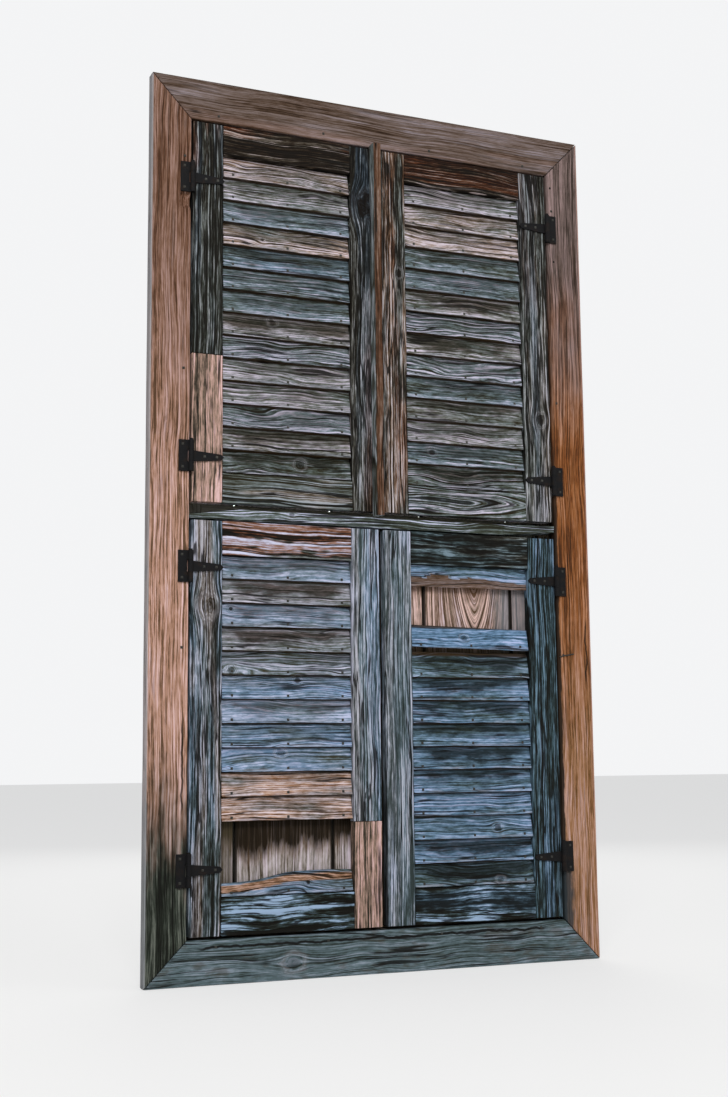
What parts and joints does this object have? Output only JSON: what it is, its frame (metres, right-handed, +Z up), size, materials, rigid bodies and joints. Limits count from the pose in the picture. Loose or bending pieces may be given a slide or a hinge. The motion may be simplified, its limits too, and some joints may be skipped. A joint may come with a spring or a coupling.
{
  "type": "window with shutters",
  "caption": "Weathered wooden window with mitred casing boards, a transom bar and hinged leaves of lapped slats on iron strap hinges that swing open.",
  "frame": {"origin": "middle of the bottom casing board's back face, in the plane of the wall's face", "axes": "+X to the right seen from outside, +Y into the wall, +Z up"},
  "size_m": [1.1, 0.176, 2.004],
  "materials": {
    "casing_wood": "weathered, worn stain",
    "leaf_wood": "weathered grey, raised grain",
    "plank_wood": "bare, stained",
    "new_wood": "bare, newer",
    "strip_wood": "worn stain",
    "transom_wood": "weathered grey",
    "lining_wood": "bare, aged",
    "sash_wood": "old flat paint",
    "iron": "black, pitted",
    "glass": "clear, old"
  },
  "bodies": {
    "frame": {"casing_head": "casing_wood", "casing_left": "casing_wood", "casing_nails": "iron", "casing_right": "casing_wood", "casing_sill": "casing_wood", "glass_panes": "glass", "glazing_bars": "sash_wood", "hinge_pins": "iron", "hinge_plates": "iron", "lining_head": "lining_wood", "lining_left": "lining_wood", "lining_right": "lining_wood", "lining_sill": "lining_wood", "sash_bottom_rail": "sash_wood", "sash_head_rail": "sash_wood", "sash_left_stile": "sash_wood", "sash_mid_rail": "sash_wood", "sash_mullions": "sash_wood", "sash_right_stile": "sash_wood", "stop_head": "lining_wood", "stop_left": "lining_wood", "stop_right": "lining_wood", "stop_sill": "lining_wood", "transom_bar": "transom_wood"},
    "upper_left_leaf": {"cover_strip": "strip_wood", "upper_left_bottom_rail": "leaf_wood", "upper_left_hinge_stile": "leaf_wood", "upper_left_hinge_straps": "iron", "upper_left_meeting_stile": "leaf_wood", "upper_left_nails": "iron", "upper_left_planks": "plank_wood", "upper_left_slats": "leaf_wood", "upper_left_stile_splice": "new_wood", "upper_left_top_rail": "leaf_wood"},
    "upper_right_leaf": {"upper_right_bottom_rail": "leaf_wood", "upper_right_hinge_stile": "leaf_wood", "upper_right_hinge_straps": "iron", "upper_right_meeting_stile": "leaf_wood", "upper_right_nails": "iron", "upper_right_planks": "plank_wood", "upper_right_slats": "leaf_wood", "upper_right_top_rail": "leaf_wood"},
    "lower_left_leaf": {"lower_left_bottom_rail": "leaf_wood", "lower_left_hinge_stile": "leaf_wood", "lower_left_hinge_straps": "iron", "lower_left_meeting_stile": "leaf_wood", "lower_left_nails": "iron", "lower_left_planks": "plank_wood", "lower_left_slats": "leaf_wood", "lower_left_stile_splice": "new_wood", "lower_left_top_rail": "leaf_wood"},
    "lower_right_leaf": {"lower_right_bottom_rail": "leaf_wood", "lower_right_hinge_stile": "leaf_wood", "lower_right_hinge_straps": "iron", "lower_right_meeting_stile": "leaf_wood", "lower_right_nails": "iron", "lower_right_planks": "plank_wood", "lower_right_slats": "leaf_wood", "lower_right_top_rail": "leaf_wood"}
  },
  "joints": [
    {"name": "upper_left_swing", "type": "hinge", "parent": "frame", "child": "upper_left_leaf", "pos_m": [-0.456, -0.034, 1.4205], "axis": [0, 0, -1], "range_deg": [0, 170]},
    {"name": "upper_right_swing", "type": "hinge", "parent": "frame", "child": "upper_right_leaf", "pos_m": [0.456, -0.034, 1.4205], "axis": [0, 0, 1], "range_deg": [0, 170]},
    {"name": "lower_left_swing", "type": "hinge", "parent": "frame", "child": "lower_left_leaf", "pos_m": [-0.456, -0.034, 0.4985], "axis": [0, 0, -1], "range_deg": [0, 170]},
    {"name": "lower_right_swing", "type": "hinge", "parent": "frame", "child": "lower_right_leaf", "pos_m": [0.456, -0.034, 0.4985], "axis": [0, 0, 1], "range_deg": [0, 170]}
  ]
}
